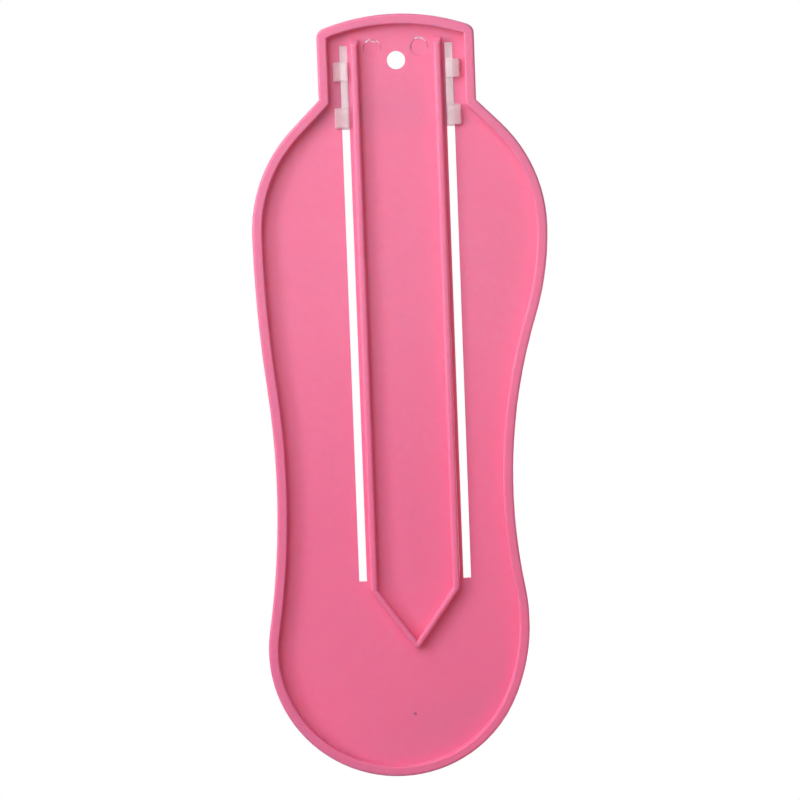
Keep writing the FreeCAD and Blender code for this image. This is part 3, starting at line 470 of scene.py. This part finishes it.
def add_floor():
    """A pale floor that is seen from above only, and that lets the lower lamps through."""
    mesh = bmesh.new()
    bmesh.ops.create_grid(mesh, x_segments=1, y_segments=1, size=FLOOR_HALF_SIDE)
    bmesh.ops.translate(mesh, verts=mesh.verts, vec=(0, 0, -FLOOR_GAP))
    data = bpy.data.meshes.new("floor")
    mesh.to_mesh(data)
    mesh.free()
    floor = bpy.data.objects.new("floor", data)
    bpy.context.scene.collection.objects.link(floor)
    nodes = Nodes(bpy.data.materials.new("floor_paper"))
    path = nodes.add("ShaderNodeLightPath", "Ray")
    side = nodes.add("ShaderNodeNewGeometry", "Side")
    shown = nodes.add("ShaderNodeMath", "Seen from above", operation="SUBTRACT", use_clamp=True)
    nodes.link(path.outputs["Is Camera Ray"], shown.inputs[0])
    nodes.link(side.outputs["Backfacing"], shown.inputs[1])
    paper = nodes.add("ShaderNodeBsdfDiffuse", "Paper", Color=FLOOR_COLOUR)
    glow = nodes.add("ShaderNodeEmission", "Pale glow", Color=FLOOR_GLOW, Strength=1)
    pale = nodes.add("ShaderNodeMixShader", "Pale paper", Fac=0.5)
    nodes.link(paper.outputs["BSDF"], pale.inputs[1])
    nodes.link(glow.outputs["Emission"], pale.inputs[2])
    absent = nodes.add("ShaderNodeBsdfTransparent", "Absent")
    chosen = nodes.add("ShaderNodeMixShader", "Paper or nothing")
    nodes.link(shown.outputs[0], chosen.inputs["Fac"])
    nodes.link(absent.outputs["BSDF"], chosen.inputs[1])
    nodes.link(pale.outputs["Shader"], chosen.inputs[2])
    data.materials.append(nodes.end(chosen.outputs["Shader"]))


def add_surroundings(settings):
    """White where it is seen, and a softer light from all round on the object."""
    nodes = Nodes(bpy.data.worlds.new("surroundings"))
    path = nodes.add("ShaderNodeLightPath", "Ray")
    seen = path.outputs["Is Camera Ray"]
    for name in ("Is Glossy Ray", "Is Transmission Ray"):
        either = nodes.add("ShaderNodeMath", "Seen", operation="MAXIMUM")
        nodes.link(seen, either.inputs[0])
        nodes.link(path.outputs[name], either.inputs[1])
        seen = either.outputs[0]
    level = nodes.spread("Level", seen, settings.surround_level, 1, 0, 1)
    background = nodes.add("ShaderNodeBackground", "White", Color=(1, 1, 1, 1))
    nodes.link(level, background.inputs["Strength"])
    bpy.context.scene.world = nodes.end(background.outputs["Background"], "ShaderNodeOutputWorld")


def add_lamps(settings):
    """Broad soft lamps on both sides of the plate, the main ones on opposite diagonals."""
    for name, direction, distance, size, share in LAMPS:
        away = Vector(direction).normalized()
        lamp = bpy.data.lights.new(name, "AREA")
        lamp.shape = "DISK"
        lamp.size = size
        lamp.energy = math.pi ** 2 * distance ** 2 * settings.lamp_level * share / abs(away.z)
        holder = bpy.data.objects.new(name, lamp)
        holder.location = away * distance
        holder.rotation_mode = "QUATERNION"
        holder.rotation_quaternion = (-away).to_track_quat("-Z", "Y")
        holder.visible_camera = False
        bpy.context.scene.collection.objects.link(holder)


def add_camera(settings):
    """A long lens below the plate's back, with the tab at the top of the picture."""
    away = CAMERA_AWAY.normalized()
    toward = -away
    across = toward.cross(Vector((0, 1, 0))).normalized()
    upward = across.cross(toward)
    tilted_across = across * math.cos(CAMERA_ROLL) - upward * math.sin(CAMERA_ROLL)
    tilted_upward = upward * math.cos(CAMERA_ROLL) + across * math.sin(CAMERA_ROLL)
    camera = bpy.data.cameras.new("camera")
    camera.lens = settings.focal_length
    camera.sensor_width = 36
    camera.clip_start = 0.05
    camera.clip_end = 50
    holder = bpy.data.objects.new("camera", camera)
    basis = Matrix((tilted_across, tilted_upward, away)).transposed().to_4x4()
    holder.matrix_world = Matrix.Translation(CAMERA_TARGET + away * CAMERA_DISTANCE) @ basis
    bpy.context.scene.collection.objects.link(holder)
    bpy.context.scene.camera = holder


# ---------------------------------------------------------------- operators


class FOOTGAUGE_OT_pink_plate(bpy.types.Operator):
    """Give the base plate its moulded pink plastic"""

    bl_idname = "footgauge.pink_plate"
    bl_label = "Pink Plate"

    def execute(self, context):
        settings = context.scene.footgauge_plastics
        dress("base_plate", plastic_named("moulded_pink", make_pink_plastic, settings))
        return {"FINISHED"}


class FOOTGAUGE_OT_clear_slider(bpy.types.Operator):
    """Give the slider its translucent plastic"""

    bl_idname = "footgauge.clear_slider"
    bl_label = "Clear Slider"

    def execute(self, context):
        settings = context.scene.footgauge_plastics
        dress("slider", plastic_named("milky_clear", make_clear_plastic, settings))
        return {"FINISHED"}


class FOOTGAUGE_OT_printed_scale(bpy.types.Operator):
    """Print the centimetre scale between the slots"""

    bl_idname = "footgauge.printed_scale"
    bl_label = "Printed Scale"

    def execute(self, context):
        settings = context.scene.footgauge_scale
        mesh = bmesh.new()
        thickness = settings.ink_thickness + INK_SUNK
        middle_z = FRONT_Z - INK_SUNK + thickness / 2
        for side in (-1, 1):
            for step in range(settings.first * 10, settings.last * 10 + 1):
                length, width = next(mark[1:] for mark in SCALE_MARKS if step % mark[0] == 0)
                x = TRACK_X + side * (SCALE_EDGE - length / 2)
                y = HEEL_STOP_Y + step * MM
                add_bar(mesh, (x, y, middle_z), (length, width, thickness))
        for number in range(settings.first, settings.last + 1):
            place = (TRACK_X, HEEL_STOP_Y + number * 10 * MM, FRONT_Z - INK_SUNK)
            add_text(mesh, str(number), settings.number_height, place, thickness)
        finish_piece("printed_scale", mesh, "plate", make_ink(settings))
        return {"FINISHED"}


class FOOTGAUGE_OT_ejector_burrs(bpy.types.Operator):
    """Raise the ragged burrs round the ejector marks"""

    bl_idname = "footgauge.ejector_burrs"
    bl_label = "Ejector Burrs"

    def execute(self, context):
        height = context.scene.footgauge_marks.burr_height
        plastics = context.scene.footgauge_plastics
        rng = random.Random(7)
        torn = plastic_named("torn_glinting_pink", make_torn_plastic, plastics)
        pink = plastic_named("moulded_pink", make_pink_plastic, plastics)
        for name, material, arcs in (
            # The flash wears the whitened pink: real whitening with a painted highlight.
            ("ejector_flash", torn, EJECTOR_FLASH),
            ("ejector_burrs", pink, EJECTOR_BURRS),
        ):
            mesh = bmesh.new()
            for side, start, sweep, outward, width, share in arcs:
                centre = Vector((TRACK_X + side * EJECTOR_MARK_SPREAD, EJECTOR_MARK_Y, RIM_DEPTH))
                radius = EJECTOR_MARK_RADIUS + outward * MM
                add_ragged_arc(
                    mesh, centre, radius, math.radians(start), math.radians(sweep),
                    width * MM, height * share, max(6, sweep // 4), rng,
                )
            finish_piece(name, mesh, "plate", material)
        return {"FINISHED"}


class FOOTGAUGE_OT_plate_gate(bpy.types.Operator):
    """Leave the stub of the gate on the plate's back"""

    bl_idname = "footgauge.plate_gate"
    bl_label = "Plate Gate"

    def execute(self, context):
        marks = context.scene.footgauge_marks
        radius, height = marks.gate_radius, marks.gate_height
        rng = random.Random(3)
        mesh = bmesh.new()
        corners = [
            mesh.verts.new(PLATE_GATE + Vector((share * radius, 0, -rise * height)))
            for share, rise in PLATE_GATE_PROFILE
        ]
        edges = [mesh.edges.new(pair) for pair in zip(corners, corners[1:])]
        bmesh.ops.spin(
            mesh, geom=corners + edges, cent=PLATE_GATE, axis=(0, 0, 1), angle=math.tau, steps=20,
            use_merge=True,
        )
        bmesh.ops.remove_doubles(mesh, verts=mesh.verts, dist=0.001 * MM)
        bmesh.ops.holes_fill(mesh, edges=[edge for edge in mesh.edges if edge.is_boundary], sides=0)
        for vert in mesh.verts:
            if vert.co.z < RIM_DEPTH - height * 0.7:
                vert.co.z += rng.uniform(-0.15, 0.25) * height
        material = plastic_named("moulded_pink", make_pink_plastic, context.scene.footgauge_plastics)
        finish_piece("plate_gate", mesh, "plate", material)
        return {"FINISHED"}


class FOOTGAUGE_OT_slider_gate(bpy.types.Operator):
    """Leave the torn stub of the gate on the slider's hook"""

    bl_idname = "footgauge.slider_gate"
    bl_label = "Slider Gate"

    def execute(self, context):
        rng = random.Random(11)
        mesh = bmesh.new()
        for along, reach, length in SLIDER_GATE_LUMPS:
            place = Matrix.Translation(SLIDER_GATE + Vector((0, along * MM, 0)))
            shape = Matrix.Diagonal((reach * MM, length * MM, SLIDER_GATE_HALF_HEIGHT, 1))
            made = bmesh.ops.create_uvsphere(
                mesh, u_segments=14, v_segments=9, radius=1, matrix=place @ shape,
            )
            for vert in made["verts"]:
                if vert.co.x < SLIDER_GATE.x:
                    vert.co += Vector([rng.uniform(-0.07, 0.07) * MM for _ in range(3)])
        material = plastic_named("milky_clear", make_clear_plastic, context.scene.footgauge_plastics)
        finish_piece("slider_gate", mesh, "slide", material)
        return {"FINISHED"}


class FOOTGAUGE_OT_stage(bpy.types.Operator):
    """Set the floor, the lamps, the surroundings and the camera"""

    bl_idname = "footgauge.stage"
    bl_label = "Stage"

    def execute(self, context):
        settings = context.scene.footgauge_stage
        add_floor()
        add_surroundings(settings)
        add_lamps(settings)
        add_camera(settings)
        context.scene.view_settings.view_transform = "Standard"
        return {"FINISHED"}


class FOOTGAUGE_PT_sidebar(bpy.types.Panel):
    """Every step of dressing the foot measuring device"""

    bl_idname = "FOOTGAUGE_PT_sidebar"
    bl_label = "Foot Measuring Device"
    bl_space_type = "VIEW_3D"
    bl_region_type = "UI"
    bl_category = "Foot Gauge"

    def draw(self, context):
        for operator in OPERATORS:
            self.layout.operator(operator.bl_idname)
        for group in SETTINGS:
            settings = getattr(context.scene, group)
            box = self.layout.box()
            for name in settings.__annotations__:
                box.prop(settings, name)


SETTINGS = {
    "footgauge_plastics": PlasticSettings,
    "footgauge_scale": ScaleSettings,
    "footgauge_marks": MarkSettings,
    "footgauge_stage": StageSettings,
}
OPERATORS = (
    FOOTGAUGE_OT_pink_plate,
    FOOTGAUGE_OT_clear_slider,
    FOOTGAUGE_OT_printed_scale,
    FOOTGAUGE_OT_ejector_burrs,
    FOOTGAUGE_OT_plate_gate,
    FOOTGAUGE_OT_slider_gate,
    FOOTGAUGE_OT_stage,
)


def register():
    """Makes the settings, the operators and the panel known."""
    for kind in (*SETTINGS.values(), *OPERATORS, FOOTGAUGE_PT_sidebar):
        bpy.utils.register_class(kind)
    for name, kind in SETTINGS.items():
        setattr(bpy.types.Scene, name, PointerProperty(type=kind))


def unregister():
    """Takes away what register made known."""
    for name in SETTINGS:
        delattr(bpy.types.Scene, name)
    for kind in reversed((*SETTINGS.values(), *OPERATORS, FOOTGAUGE_PT_sidebar)):
        bpy.utils.unregister_class(kind)


def main():
    """Dresses the solids and sets the stage."""
    register()
    bpy.ops.footgauge.pink_plate()
    bpy.ops.footgauge.clear_slider()
    bpy.ops.footgauge.printed_scale()
    bpy.ops.footgauge.ejector_burrs()
    bpy.ops.footgauge.plate_gate()
    bpy.ops.footgauge.slider_gate()
    bpy.ops.footgauge.stage()


if __name__ == "__main__":
    main()
